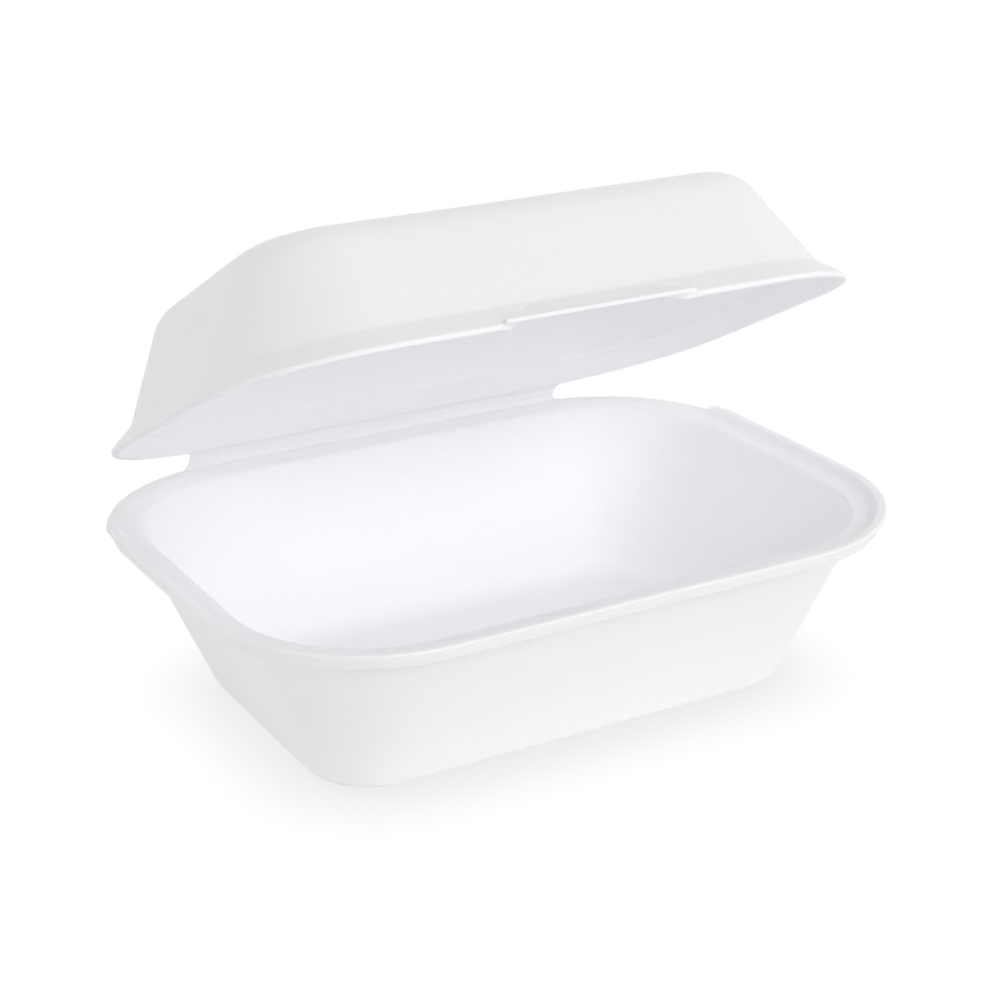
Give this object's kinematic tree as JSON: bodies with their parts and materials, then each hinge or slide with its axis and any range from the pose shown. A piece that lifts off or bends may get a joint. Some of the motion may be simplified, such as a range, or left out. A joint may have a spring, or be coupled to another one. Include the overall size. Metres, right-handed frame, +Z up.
{
  "type": "foam clamshell container",
  "caption": "White foam takeaway box: a deep tray with sloping walls and a stepped rim, and a domed lid on a folded foam strip, standing part open",
  "frame": {"origin": "middle of the tray's foot, on the surface that the tray stands on", "axes": "+X runs along the hinge, the front with the lock tab faces -Y, +Z is up"},
  "size_m": [0.1836, 0.1416, 0.1285],
  "materials": {
    "white_foam": "matte"
  },
  "bodies": {
    "tray": {"tray": "white_foam", "hinge_strip": "white_foam"},
    "lid": {"lid": "white_foam"}
  },
  "joints": [
    {"name": "lid_hinge", "type": "hinge", "parent": "tray", "child": "lid", "pos_m": [0, 0.07325, 0.04595], "axis": [-1, 0, 0], "range_deg": [-28, 152], "deforming": ["hinge_strip"]}
  ]
}
